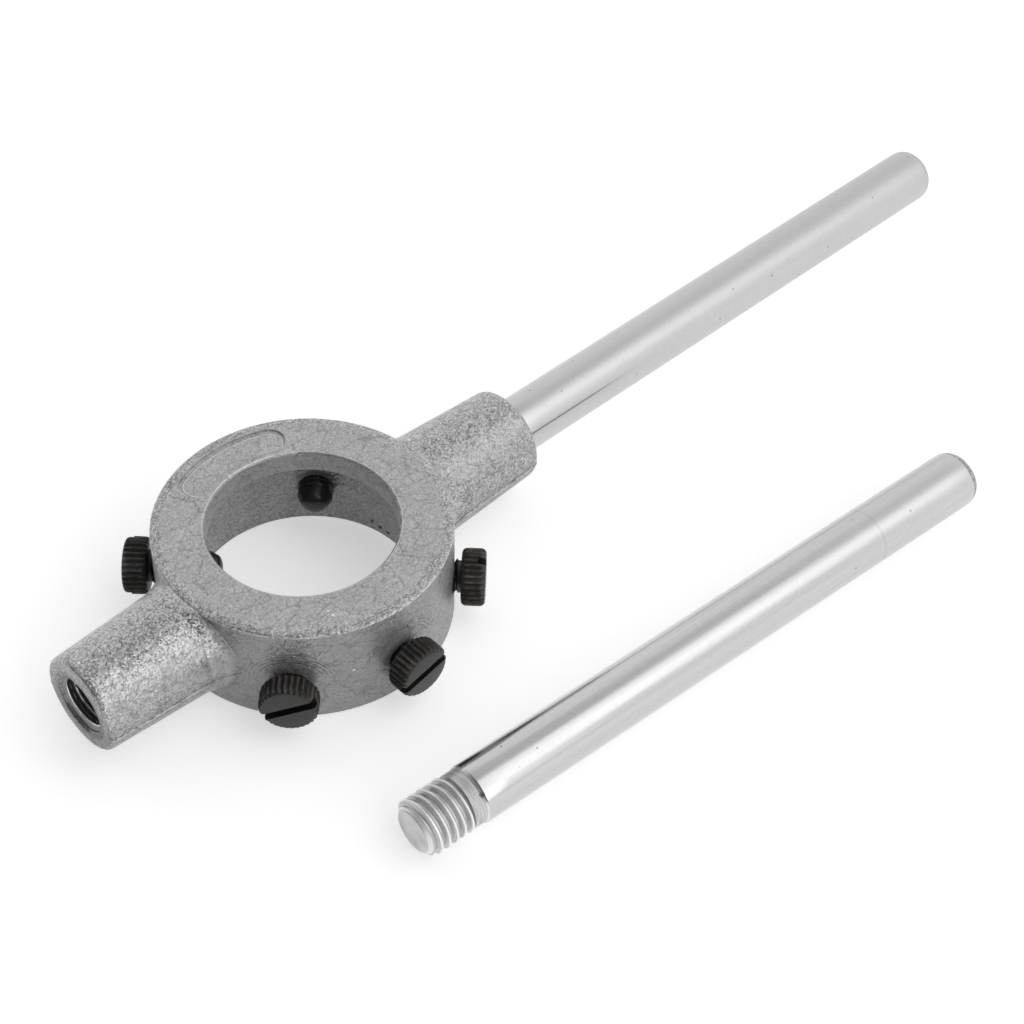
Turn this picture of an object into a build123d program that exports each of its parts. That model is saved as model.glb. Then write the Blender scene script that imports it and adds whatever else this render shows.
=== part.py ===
from build123d import *
import math
import os

# Die stock for round threading dies, with two handles that screw in.
# The ring stands on its open face at z = 0, its axis is Z through the origin,
# and the handle sockets lie along X. Every length is in millimetres.

# The die that the stock holds
die_diameter = 38.0
die_thickness = 14.0

# Ring
die_play = 0.15  # radial play of the die in its pocket
pocket_spare_depth = 1.6  # how much deeper the pocket is than the die
pocket_wall = 5.1  # ring wall around the pocket
ledge_thickness = 3.8  # floor above the pocket, which stops the die
ledge_width = 3.55  # radial reach of that floor
mouth_chamfer = 0.8
foot_edge_break = 0.5
brow_width = 1.2  # soft shoulder around the top face
brow_drop = 0.4
sight_hole_edge_break = 0.35

# Sunk panel on the top face, where the die size is marked
panel_border = 0.75
panel_depth = 0.3
panel_start_deg = 67.0  # where its rounded ends have their centres
panel_end_deg = 112.5

# Bosses that carry the handles
socket_floor = 7.5  # metal between the socket's drill point and the pocket
boss_margin = 0.53  # how far the boss stays inside the ring's height
boss_rise = 0.4  # axis of the bosses above the middle of the ring
boss_taper_deg = 2.5
boss_end_round = 0.85
boss_flare_length = 4.2  # along the boss, where it widens into the ring's wall
boss_flare_rise = 1.5
boss_flare_start = 1.8  # how far outside the ring's wall the flare begins
parting_drop = 1.4  # parting line below the axis of the bosses
parting_ridge_width = 0.3
parting_ridge_height = 0.12

# Sockets, tapped for the handles
socket_depth = 15.0
drill_point_deg = 118.0
socket_countersink = 0.35

# Handles, turned from bar of the thread's own diameter
handle_diameter = 10.0
handle_length = 109.1  # without the stud
handle_end_round = 1.2
stud_bottom_gap = 4.0  # socket left empty ahead of a seated stud
stud_play = 0.05  # radial play of the stud in its socket
stud_relief_length = 2.5
stud_relief_depth = 0.4
stud_end_chamfer = 1.0
seat_play = 0.05  # between the seated rod and the thread's run-in

# The loose handle, lying in front of the ring with its stud to the left
loose_handle_gap = 16.0  # between the front screw's head and the rod
loose_handle_shoulder_x = -9.4
loose_handle_turn_deg = -3.455

# Screws, all five alike
screw_diameter = 6.0
screw_play = 0.05  # radial play of the shank in its hole
screw_reach = 6.05  # how far the point stands into the empty pocket
screw_point_deg = 66.0
screw_point_end_diameter = 2.5
head_diameter = 9.5
head_thickness = 4.0
head_gap = 1.15  # between the ring's wall and the head
head_edge_bevel = 0.55
flute_count = 30
flute_depth = 0.35
slot_width = 1.4
slot_depth = 1.3

# Where the screws stand around the ring
front_screw_deg = 270.0
closing_screw_spread_deg = 45.0  # each side of the front screw
locating_screw_deg = 45.0  # up from the handle's line, on the far side
right_locating_screw_backed_out = 0.9
slot_turn_deg = {
    "spreading_screw": 13.6,
    "closing_screw_left": 23.3,
    "closing_screw_right": 97.0,
    "locating_screw_left": 138.0,
    "locating_screw_right": 148.0,
}

# Worked out from the sizes above
pocket_radius = die_diameter / 2 + die_play
pocket_depth = die_thickness + pocket_spare_depth
ring_radius = pocket_radius + pocket_wall
ring_height = pocket_depth + ledge_thickness
sight_hole_radius = pocket_radius - ledge_width

handle_radius = handle_diameter / 2
socket_radius = handle_radius
socket_mouth_radius = socket_radius + socket_countersink
drill_point_length = socket_radius / math.tan(math.radians(drill_point_deg / 2))
boss_end_x = pocket_radius + socket_floor + drill_point_length + socket_depth
boss_z = ring_height / 2 + boss_rise
boss_root_radius = ring_height / 2 - boss_margin
boss_slope = math.tan(math.radians(boss_taper_deg))
boss_end_radius = boss_root_radius - (boss_end_x - ring_radius) * boss_slope

stud_length = socket_depth - stud_bottom_gap
stud_radius = socket_radius - stud_play
relief_radius = handle_radius - stud_relief_depth
handle_seat_x = boss_end_x - socket_countersink + seat_play

screw_z = pocket_depth / 2
screw_radius = screw_diameter / 2 - screw_play
head_radius = head_diameter / 2
head_seat_radius = ring_radius + head_gap
shank_length = screw_reach + pocket_wall + head_gap
point_slope = math.tan(math.radians(screw_point_deg / 2))
point_length = (screw_radius - screw_point_end_diameter / 2) / point_slope


def turned(outline, axis):
    """A solid of revolution from the corner points of its half section.

    Args:
        outline: Corner points, in order, in the plane that the axis lies in.
        axis: The axis of revolution.

    Returns:
        The turned solid.
    """
    return revolve(make_face(Polyline(*outline, close=True)), axis)


def ring_outside():
    """The space inside the ring's foot, wall and top, open to the sides above the brow.

    Returns:
        A turned solid that trims the casting blank at its foot and its top.
    """
    far = boss_end_x * 2
    brow_z = ring_height - brow_drop
    return turned(
        [
            (0, 0, 0),
            (ring_radius - foot_edge_break, 0, 0),
            (ring_radius, 0, foot_edge_break),
            (far, 0, foot_edge_break),
            (far, 0, brow_z),
            (ring_radius, 0, brow_z),
            (ring_radius - brow_width * 0.3, 0, ring_height - brow_drop * 0.4),
            (ring_radius - brow_width, 0, ring_height),
            (0, 0, ring_height),
        ],
        Axis.Z,
    )


def die_space():
    """Pocket with its chamfered mouth, and the sight hole through the ledge.

    Returns:
        The turned solid that the die pocket and the sight hole take away.
    """
    return turned(
        [
            (0, 0, 0),
            (pocket_radius + mouth_chamfer, 0, 0),
            (pocket_radius, 0, mouth_chamfer),
            (pocket_radius, 0, pocket_depth),
            (sight_hole_radius, 0, pocket_depth),
            (sight_hole_radius, 0, ring_height - sight_hole_edge_break),
            (sight_hole_radius + sight_hole_edge_break, 0, ring_height),
            (0, 0, ring_height),
        ],
        Axis.Z,
    )


def rounded_corner(end_x, radius, corner_round):
    """Corner points of a rounded end edge, in three steps.

    Args:
        end_x: Where the end face is.
        radius: Radius of the bar at its end.
        corner_round: Radius of the rounding.

    Returns:
        Points from the bar's side to its end face, in the XY plane.
    """
    points = []
    for turn_deg in (0, 30, 60, 90):
        turn = math.radians(turn_deg)
        along = end_x - corner_round + corner_round * math.sin(turn)
        points.append((along, radius - corner_round + corner_round * math.cos(turn), 0))
    return points


def boss(extra=0.0):
    """The right boss, a cone that widens in two steps into the ring's wall.

    Args:
        extra: How much wider than the boss itself.

    Returns:
        The turned boss with its rounded end edge.
    """
    flare_x = ring_radius + boss_flare_start
    flare_radius = boss_root_radius - boss_flare_start * boss_slope + extra
    middle_x = flare_x - boss_flare_length * 0.5
    root_x = flare_x - boss_flare_length
    end_round = min(boss_end_round, (boss_end_radius - socket_mouth_radius) * 0.8)
    return Pos(0, 0, boss_z) * turned(
        [
            (0, 0, 0),
            (0, flare_radius + boss_flare_rise, 0),
            (root_x, flare_radius + boss_flare_rise, 0),
            (middle_x, flare_radius + boss_flare_rise * 0.35, 0),
            (flare_x, flare_radius, 0),
            *rounded_corner(boss_end_x, boss_end_radius + extra, end_round),
            (boss_end_x, 0, 0),
        ],
        Axis.X,
    )


def parting_ridge():
    """Thin ridge along both sides of the right boss, where the halves of the mould met.

    Returns:
        The ridge, as a slice of a slightly wider boss.
    """
    slice_side = 2 * (boss_root_radius + boss_flare_rise + parting_ridge_height)
    place = Pos(boss_end_x / 2, 0, boss_z - parting_drop)
    return boss(parting_ridge_height) & place * Box(boss_end_x, slice_side, parting_ridge_width)


def socket_space():
    """Tapped socket in the right boss: countersink, thread and drill point.

    Returns:
        The turned solid that the socket takes away.
    """
    thread_end_x = boss_end_x - socket_depth
    space = turned(
        [
            (boss_end_x, 0, 0),
            (boss_end_x, socket_mouth_radius, 0),
            (boss_end_x - socket_countersink, socket_radius, 0),
            (thread_end_x, socket_radius, 0),
            (thread_end_x - drill_point_length, 0, 0),
        ],
        Axis.X,
    )
    return Pos(0, 0, boss_z) * space


def panel_space():
    """Sunk panel for the size marking, along the middle of the top face.

    Returns:
        The curved slot that the panel takes away.
    """
    land_inner = sight_hole_radius + sight_hole_edge_break
    land_outer = ring_radius - brow_width
    middle = (land_inner + land_outer) / 2
    width = land_outer - land_inner - 2 * panel_border
    spine = CenterArc((0, 0), middle, panel_start_deg, panel_end_deg - panel_start_deg)
    outline = Pos(0, 0, ring_height - panel_depth) * SlotArc(spine, width)
    return extrude(outline, panel_depth)


def screw_place(angle_deg, backed_out=0.0):
    """Seat of a screw's head, with local Z pointing out of the ring and local Y up.

    Args:
        angle_deg: Where the screw stands around the ring.
        backed_out: How far it is turned out beyond the others.

    Returns:
        The location of the underside of the head.
    """
    angle = math.radians(angle_deg)
    reach = head_seat_radius + backed_out
    seat = Plane(
        origin=(reach * math.cos(angle), reach * math.sin(angle), screw_z),
        x_dir=(-math.sin(angle), math.cos(angle), 0),
        z_dir=(math.cos(angle), math.sin(angle), 0),
    )
    return seat.location


def stock_body():
    """Ring and bosses as cast, then bored, drilled and chamfered.

    Returns:
        The finished casting.
    """
    right_boss = boss() + parting_ridge()
    ring = Pos(0, 0, ring_height / 2) * Cylinder(ring_radius, ring_height)
    casting = (ring + right_boss + mirror(right_boss, Plane.YZ)) & ring_outside()
    casting = casting - die_space()
    casting = casting - panel_space()
    casting = casting - socket_space() - mirror(socket_space(), Plane.YZ)
    for angle_deg in screw_angles.values():
        drill = extrude(Circle(screw_diameter / 2), -(head_gap + pocket_wall + screw_reach))
        casting = casting - screw_place(angle_deg) * drill
    return casting


def handle():
    """Handle along X, its shoulder at the origin and its stud pointing to -X.

    Returns:
        The turned rod with its rounded end, relief groove and stud.
    """
    return turned(
        [
            (-stud_length, 0, 0),
            (-stud_length, stud_radius - stud_end_chamfer, 0),
            (-stud_length + stud_end_chamfer, stud_radius, 0),
            (-stud_relief_length, stud_radius, 0),
            (-stud_relief_length, relief_radius, 0),
            (0, relief_radius, 0),
            (0, handle_radius, 0),
            *rounded_corner(handle_length, handle_radius, min(handle_end_round, handle_radius * 0.8)),
            (handle_length, 0, 0),
        ],
        Axis.X,
    )


def loose_handle_place():
    """Where the loose handle's shoulder lies on the surface that the ring stands on.

    Returns:
        The location of its shoulder.
    """
    rod_y_at_ring = -(head_seat_radius + head_thickness + loose_handle_gap + handle_radius)
    slope = math.tan(math.radians(loose_handle_turn_deg))
    shoulder_y = rod_y_at_ring + loose_handle_shoulder_x * slope
    lying = Pos(loose_handle_shoulder_x, shoulder_y, handle_radius)
    return lying * Rot(Z=loose_handle_turn_deg)


def knurl_outline(reach):
    """Outline of the straight knurl, a star of flutes.

    Args:
        reach: Radius of the knurl's crests.

    Returns:
        The outline as a face in the XY plane.
    """
    bottom_share = 1 - flute_depth / head_radius
    points = []
    for flute in range(flute_count):
        crest = math.radians(360 / flute_count * flute)
        valley = math.radians(360 / flute_count * (flute + 0.5))
        points.append((reach * math.cos(crest), reach * math.sin(crest)))
        points.append((reach * bottom_share * math.cos(valley), reach * bottom_share * math.sin(valley)))
    return make_face(Polyline(*points, close=True))


def knurled_head():
    """Head of a screw, knurled straight, its two edges bevelled.

    Returns:
        The head, standing on the XY plane, without its slot.
    """
    bevel = min(head_edge_bevel, head_thickness * 0.4)
    outlines = [
        knurl_outline(head_radius - bevel),
        Pos(0, 0, bevel) * knurl_outline(head_radius),
        Pos(0, 0, head_thickness - bevel) * knurl_outline(head_radius),
        Pos(0, 0, head_thickness) * knurl_outline(head_radius - bevel),
    ]
    return loft(outlines, ruled=True)


def screw(slot_deg):
    """Slotted screw with a knurled head, the underside of its head at the origin.

    Args:
        slot_deg: Turn of the slot from local X.

    Returns:
        The screw, pointing to local -Z.
    """
    shank = turned(
        [
            (0, 0, 0),
            (screw_radius, 0, 0),
            (screw_radius, 0, -shank_length + point_length),
            (screw_point_end_diameter / 2, 0, -shank_length),
            (0, 0, -shank_length),
        ],
        Axis.Z,
    )
    slot = Pos(0, 0, head_thickness - slot_depth / 2) * Box(head_diameter * 2, slot_width, slot_depth)
    return knurled_head() - Rot(Z=slot_deg) * slot + shank


screw_angles = {
    "spreading_screw": front_screw_deg,
    "closing_screw_left": front_screw_deg - closing_screw_spread_deg,
    "closing_screw_right": front_screw_deg + closing_screw_spread_deg,
    "locating_screw_left": 180.0 - locating_screw_deg,
    "locating_screw_right": locating_screw_deg,
}

pieces = {
    "stock_body": stock_body(),
    "fitted_handle": Pos(handle_seat_x, 0, boss_z) * handle(),
    "loose_handle": loose_handle_place() * handle(),
}
for name, angle_deg in screw_angles.items():
    backed_out = right_locating_screw_backed_out if name == "locating_screw_right" else 0.0
    pieces[name] = screw_place(angle_deg, backed_out) * screw(slot_turn_deg[name])

os.makedirs("parts", exist_ok=True)
for name, piece in pieces.items():
    piece.label = name
    export_step(piece, "parts/" + name + ".step")
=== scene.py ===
import logging
import math
from dataclasses import dataclass
from enum import Enum
from functools import reduce
from typing import NamedTuple

import bmesh
import bpy
import numpy as np
from mathutils import Matrix, Vector


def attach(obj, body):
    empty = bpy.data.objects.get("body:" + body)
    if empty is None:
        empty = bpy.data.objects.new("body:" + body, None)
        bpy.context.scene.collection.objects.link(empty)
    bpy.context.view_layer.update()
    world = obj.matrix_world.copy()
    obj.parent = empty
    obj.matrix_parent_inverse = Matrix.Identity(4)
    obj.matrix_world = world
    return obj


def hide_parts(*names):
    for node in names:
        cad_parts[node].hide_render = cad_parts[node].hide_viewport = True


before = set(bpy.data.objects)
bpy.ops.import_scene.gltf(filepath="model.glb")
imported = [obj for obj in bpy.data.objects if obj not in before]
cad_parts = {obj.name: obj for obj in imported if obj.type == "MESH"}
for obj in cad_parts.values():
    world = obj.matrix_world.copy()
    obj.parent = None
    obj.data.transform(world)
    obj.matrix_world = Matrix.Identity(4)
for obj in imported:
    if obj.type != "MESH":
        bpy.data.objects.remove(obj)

Material, Mesh, Object = bpy.types.Material, bpy.types.Mesh, bpy.types.Object
Socket = bpy.types.NodeSocket

MM = 0.001
PHOTO_SIDE_PX = 1024
WHITE = (1.0, 1.0, 1.0, 1.0)
SOCKET_HEIGHT = 10.1
SCREW_HEIGHT = 7.8
SCREW_SPACING_DEG = 45.0
THREAD_ROOT, THREAD_FLANK = 0.20, 0.70
DOUBLES_REACH = 1e-7
ALL_SMOOTH_DEG = 180.0
WARP_DETAIL = 3.0
RAGGED_SCALE, RAGGED_REACH = 2.5, 1.6
SPOT_EDGE = (1.1, 0.6)

log = logging.getLogger("die_stock")


class Slot(Enum):
    """Material slots of the record, by name."""

    BRIGHT = "bright_steel"
    BLACK = "black_steel"


class Thread(Enum):
    """Metric threads on the piece, as (pitch, depth) in mm."""

    HANDLE = (1.5, 0.92)
    SCREW = (1.0, 0.61)


def smooth_step(low: float, high: float, values: np.ndarray) -> np.ndarray:
    """The cubic 3t^2 - 2t^3 of the values, where t runs from 0 at low to 1 at high."""
    t = np.clip((values - low) / (high - low), 0.0, 1.0)
    return t * t * (3.0 - 2.0 * t)


def thread_ridge(turns: np.ndarray) -> np.ndarray:
    """A thread's ridge, 0 to 1: a triangle of the turns' fraction, flat at its foot and its tip."""
    triangle = np.abs(2.0 * (turns - np.floor(turns)) - 1.0)
    return np.clip((triangle - THREAD_ROOT) / THREAD_FLANK, 0.0, 1.0)


@dataclass
class Place:
    """A right-handed frame that a piece is built in, in mm.

    Attributes:
        origin: Its origin in the row frame.
        along: Direction of its own third axis.
        side: Direction of its own first axis.
    """

    origin: np.ndarray
    along: np.ndarray
    side: np.ndarray

    def world(self, side: np.ndarray, up: np.ndarray, along: np.ndarray) -> np.ndarray:
        """Origin plus each coordinate times its axis, where up is along x side.

        Args:
            side: Coordinates on the first axis.
            up: Coordinates on the second axis.
            along: Coordinates on the third axis.

        Returns:
            The points in the row frame, in mm, with a last axis of 3.
        """
        second = np.cross(self.along, self.side)
        return (
            self.origin
            + side[..., None] * self.side
            + up[..., None] * second
            + along[..., None] * self.along
        )

    def turned(self, radius: np.ndarray, along: np.ndarray) -> np.ndarray:
        """A turned surface's points: radius times the cosine and sine of each column's angle."""
        angle = np.linspace(0.0, 2.0 * math.pi, radius.shape[1], endpoint=False)[None, :]
        return self.world(radius * np.cos(angle), radius * np.sin(angle), along)


def closed_mesh(name: str, points: np.ndarray, faces: list) -> Mesh:
    """A mesh with its doubles merged and every face turned outwards.

    Args:
        name: Name of the mesh.
        points: Its points, in mm.
        faces: Its faces, as lists of point numbers.

    Returns:
        The mesh, in metres.
    """
    mesh = bpy.data.meshes.new(name)
    mesh.from_pydata((points.reshape(-1, 3) * MM).tolist(), [], faces)
    work = bmesh.new()
    work.from_mesh(mesh)
    bmesh.ops.remove_doubles(work, verts=work.verts, dist=DOUBLES_REACH)
    bmesh.ops.recalc_face_normals(work, faces=work.faces)
    work.to_mesh(mesh)
    work.free()
    return mesh


def capped_mesh(name: str, points: np.ndarray, poles: tuple) -> Mesh:
    """A closed mesh on a grid that wraps round in its columns, with a pole at each end.

    Quads join neighbouring rows, and a fan of triangles joins each pole to its row.

    Args:
        name: Name of the mesh.
        points: Grid of points, rows by columns by 3, in mm.
        poles: The points that close the first and the last row.

    Returns:
        The mesh, in metres.
    """
    rows, columns = points.shape[:2]
    index = np.arange(rows * columns).reshape(rows, columns)
    after = np.roll(index, -1, axis=1)
    quads = np.stack([index[:-1], after[:-1], after[1:], index[1:]], axis=-1).reshape(-1, 4)
    first, last = (np.full(columns, rows * columns + pole) for pole in (0, 1))
    first_fan = np.stack([first, after[0], index[0]], axis=-1)
    last_fan = np.stack([last, index[-1], after[-1]], axis=-1)
    points = np.vstack([points.reshape(-1, 3), *poles])
    return closed_mesh(name, points, quads.tolist() + first_fan.tolist() + last_fan.tolist())


def put_in_scene(mesh: Mesh, sharp_deg: float, *finish: Material) -> Object:
    """An object of the mesh's name, shaded smooth except over sharp edges.

    Args:
        mesh: The finished mesh.
        sharp_deg: Edges that turn by more than this stay sharp.
        *finish: Its material, if it has one.

    Returns:
        The new object, at the origin.
    """
    mesh.materials.clear()
    for material in finish:
        mesh.materials.append(material)
    mesh.shade_smooth()
    mesh.set_sharp_from_angle(angle=math.radians(sharp_deg))
    piece = bpy.data.objects.new(mesh.name, mesh)
    bpy.context.scene.collection.objects.link(piece)
    return piece


def cut_away(mesh: Mesh, cutter: Mesh) -> Mesh:
    """The mesh less the cutter, as an exact mesh boolean.

    Args:
        mesh: The closed mesh to cut, which is removed.
        cutter: The closed mesh that is taken away, and removed too.

    Returns:
        The cut mesh, with the name of the first.
    """
    name = mesh.name
    body, tool = (put_in_scene(part, ALL_SMOOTH_DEG) for part in (mesh, cutter))
    cut = body.modifiers.new("cut", "BOOLEAN")
    cut.operation = "DIFFERENCE"
    cut.solver = "EXACT"
    cut.object = tool
    graph = bpy.context.evaluated_depsgraph_get()
    result = bpy.data.meshes.new_from_object(body.evaluated_get(graph))
    for part in (mesh, cutter):
        bpy.data.meshes.remove(part)
    result.name = name
    return result


class Nodes:
    """A node tree, with short calls that add and join its nodes."""

    def __init__(self, tree: bpy.types.NodeTree) -> None:
        """Takes the tree of a material or a world and empties it."""
        self.tree = tree
        self.tree.nodes.clear()

    def feed(self, target: Socket, value: object) -> None:
        """Sets a socket to a number or joins it to another node's output.

        Args:
            target: The socket to feed.
            value: A number, a tuple or an output socket.
        """
        if isinstance(value, Socket):
            self.tree.links.new(value, target)
        else:
            target.default_value = value

    def node(self, kind: str, inputs: dict, **settings: object) -> bpy.types.Node:
        """A node with its settings and its inputs.

        Args:
            kind: The node's type, without its ShaderNode prefix.
            inputs: Values by the name or number of the input.
            **settings: Attributes of the node.

        Returns:
            The new node.
        """
        made = self.tree.nodes.new("ShaderNode" + kind)
        for key, value in settings.items():
            setattr(made, key, value)
        for key, value in inputs.items():
            self.feed(made.inputs[key], value)
        return made

    def math(self, operation: str, *values: object) -> Socket:
        """One arithmetic step on the values."""
        return self.node("Math", dict(enumerate(values)), operation=operation).outputs[0]

    def times(self, *factors: object) -> Socket:
        """The product of all factors."""
        return reduce(lambda total, factor: self.math("MULTIPLY", total, factor), factors)

    def scaled(self, value: object, factor: object, offset: object) -> Socket:
        """Value times factor, plus offset."""
        return self.math("MULTIPLY_ADD", value, factor, offset)

    def off(self, value: object, place: object) -> Socket:
        """How far the value lies from the place, to either side."""
        return self.math("ABSOLUTE", self.math("SUBTRACT", value, place))

    def length(self, first: object, second: object) -> Socket:
        """Distance over two coordinates: sqrt(first^2 + second^2)."""
        return self.math("SQRT", self.scaled(second, second, self.times(first, first)))

    def vector(self, operation: str, inputs: dict) -> Socket:
        """One step of vector arithmetic, whose result may be a number."""
        made = self.node("VectorMath", inputs, operation=operation)
        return made.outputs["Value" if operation in ("DISTANCE", "DOT_PRODUCT") else "Vector"]

    def ramp(self, value: object, ends: tuple, results: tuple, kind: str = "SMOOTHSTEP") -> Socket:
        """The value mapped from one pair of ends to another, and held beyond them.

        Args:
            value: What to map.
            ends: Where the ramp starts and ends. The start may be the higher one.
            results: What it gives at its start and its end.
            kind: Form of the ramp.

        Returns:
            The mapped socket.
        """
        names = ("Value", "From Min", "From Max", "To Min", "To Max")
        inputs = dict(zip(names, (value, *ends, *results)))
        return self.node("MapRange", inputs, interpolation_type=kind).outputs[0]

    def spread(self, value: object, start: float, full: float) -> Socket:
        """A smooth step of the value, 0 at start and 1 at full, to either side."""
        return self.ramp(value, (start, full), (0.0, 1.0))


class Breaks(NamedTuple):
    """Noise cut to patches: its scale and detail, and where a patch starts and is full."""

    scale: float
    detail: float
    start: float
    full: float


class Shader(Nodes):
    """A material of one Principled shader, and the patterns that the finishes share."""

    def __init__(self, name: str) -> None:
        """An empty tree with the shader on its output.

        Args:
            name: Name of the material.
        """
        self.material = bpy.data.materials.new(name)
        self.material.use_nodes = True
        super().__init__(self.material.node_tree)
        self.surface = self.node("BsdfPrincipled", {})
        self.node("OutputMaterial", {0: self.surface.outputs[0]})

    def dress(self, values: dict) -> None:
        """Feeds the shader's inputs, given by their names."""
        for name, value in values.items():
            self.feed(self.surface.inputs[name], value)

    def blend(self, share: object, first: object, second: object) -> Socket:
        """A mix of two colours, the first where share is 0 and the second where it is 1."""
        return self.node("Mix", {0: share, 6: first, 7: second}, data_type="RGBA").outputs[2]

    def place_mm(self) -> Socket:
        """Object coordinates in mm."""
        place = self.node("TexCoord", {}).outputs["Object"]
        return self.vector("SCALE", {0: place, "Scale": 1.0 / MM})

    def split(self, vector: object) -> tuple:
        """The three coordinates of a vector."""
        return tuple(self.node("SeparateXYZ", {0: vector}).outputs)

    def noise(self, vector: object, scale: float, detail: float, output: str = "Fac") -> Socket:
        """Soft noise around 0.5, with its scale in waves for each unit of the vector."""
        made = self.node("TexNoise", {"Vector": vector, "Scale": scale, "Detail": detail})
        return made.outputs[output]

    def patches(self, vector: object, breaks: Breaks) -> Socket:
        """Noise cut to patches, 1 in a patch and 0 between them."""
        noise = self.noise(vector, breaks.scale, breaks.detail)
        return self.spread(noise, breaks.start, breaks.full)

    def strayed(self, tone: object, noise: object, share: float) -> Socket:
        """The tone plus a share of a noise around 0.5."""
        return self.scaled(self.math("SUBTRACT", noise, 0.5), share, tone)

    def stretched(self, vector: object, scale: tuple) -> Socket:
        """The vector times a scale for each axis, below 1 where a pattern is to be longer."""
        return self.node("Mapping", {"Vector": vector, "Scale": scale}).outputs[0]

    def grey(self, value: object) -> Socket:
        """A neutral colour of that lightness."""
        return self.node("CombineColor", {0: value, 1: value, 2: value}).outputs[0]

    def shifted(self, vector: object, colour: object, reach: float) -> Socket:
        """The vector plus reach times a colour that is read around 0.5."""
        shift = self.vector("SUBTRACT", {0: colour, 1: (0.5, 0.5, 0.5)})
        return self.vector("ADD", {0: vector, 1: self.vector("SCALE", {0: shift, "Scale": reach})})

    def warped(self, vector: object, scale: float, reach: float) -> Socket:
        """The vector shifted by noise, so that straight borders read at it become wavy."""
        return self.shifted(vector, self.noise(vector, scale, WARP_DETAIL, "Color"), reach)

    def spots(self, vector: object, centres: tuple, radius: float) -> Socket:
        """Small round spots with ragged borders.

        Args:
            vector: Where to read them.
            centres: Their centres.
            radius: Their radius.

        Returns:
            1 in a spot and 0 elsewhere.
        """
        ragged = self.warped(vector, RAGGED_SCALE, radius * RAGGED_REACH)
        start, full = (radius * share for share in SPOT_EDGE)
        total = 0.0
        for centre in centres:
            far = self.vector("DISTANCE", {0: ragged, 1: centre})
            total = self.math("MAXIMUM", total, self.spread(far, start, full))
        return total

    def off_screw(self, parts: tuple, reach: object) -> Socket:
        """Distance from the nearest screw's axis, for screws at any multiple of the spacing.

        The angle round the ring is wrapped to half a spacing each side of the nearest
        screw's axis. Its sine times the reach, and z less the screws' height, are the two
        coordinates across that axis.

        Args:
            parts: The three coordinates, in mm.
            reach: Distance from the ring's axis, in mm.

        Returns:
            The distance, in mm.
        """
        half = math.radians(SCREW_SPACING_DEG / 2.0)
        turn = self.math("WRAP", self.math("ARCTAN2", parts[1], parts[0]), half, -half)
        across = self.times(self.math("SINE", turn), reach)
        return self.length(across, self.math("SUBTRACT", parts[2], SCREW_HEIGHT))

    def tilted_normal(self, colour: object, tilt: float) -> Socket:
        """The surface's normal shifted by a colour, the same all over a flake, and made unit length."""
        normal = self.node("NewGeometry", {}).outputs["Normal"]
        return self.vector("NORMALIZE", {0: self.shifted(normal, colour, tilt)})

    def bumps(self, height: object, reach_mm: float, strength: float, **start: object) -> None:
        """Joins a height to the normal, where 1 is reach_mm high. Start may give another Normal."""
        inputs = {"Height": height, "Distance": reach_mm * MM, "Strength": strength, **start}
        self.dress({"Normal": self.node("Bump", inputs).outputs[0]})


class Measure(Enum):
    """What a step on the casting is read along, in mm."""

    Y = "place across the bosses"
    Z = "height above the ring's foot"
    REACH = "distance from the ring's axis"
    ALONG = "distance from the ring's middle, along the bosses"
    BESIDE = "distance from the bosses' upright middle plane"
    BORE = "distance from the bosses' axis"
    PARTING = "distance from the parting line"
    SCREW = "distance from the nearest screw's axis"
    BORDER = "distance from the sunk panel's border"
    INNER = "distance from a line just inside that border"
    RIM = "distance from the ring's outer rim"
    HOLE_RIM = "distance from the sight hole's rim"


@dataclass(frozen=True)
class Region:
    """Part of the casting, as smooth steps whose product is its mask.

    Attributes:
        share: How much of its tone it loses, in most regions as painted shade; for an edge, how much worn
            metal and painted highlight it shows.
        steps: Each step's measure, and the places where it starts and is full.
    """

    share: float
    steps: tuple

    def mask(self, sh: Shader, at: dict) -> Socket:
        """The product of the steps, 1 in the region and 0 elsewhere."""
        return sh.times(*(sh.spread(at[measure], start, full) for measure, start, full in self.steps))


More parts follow.
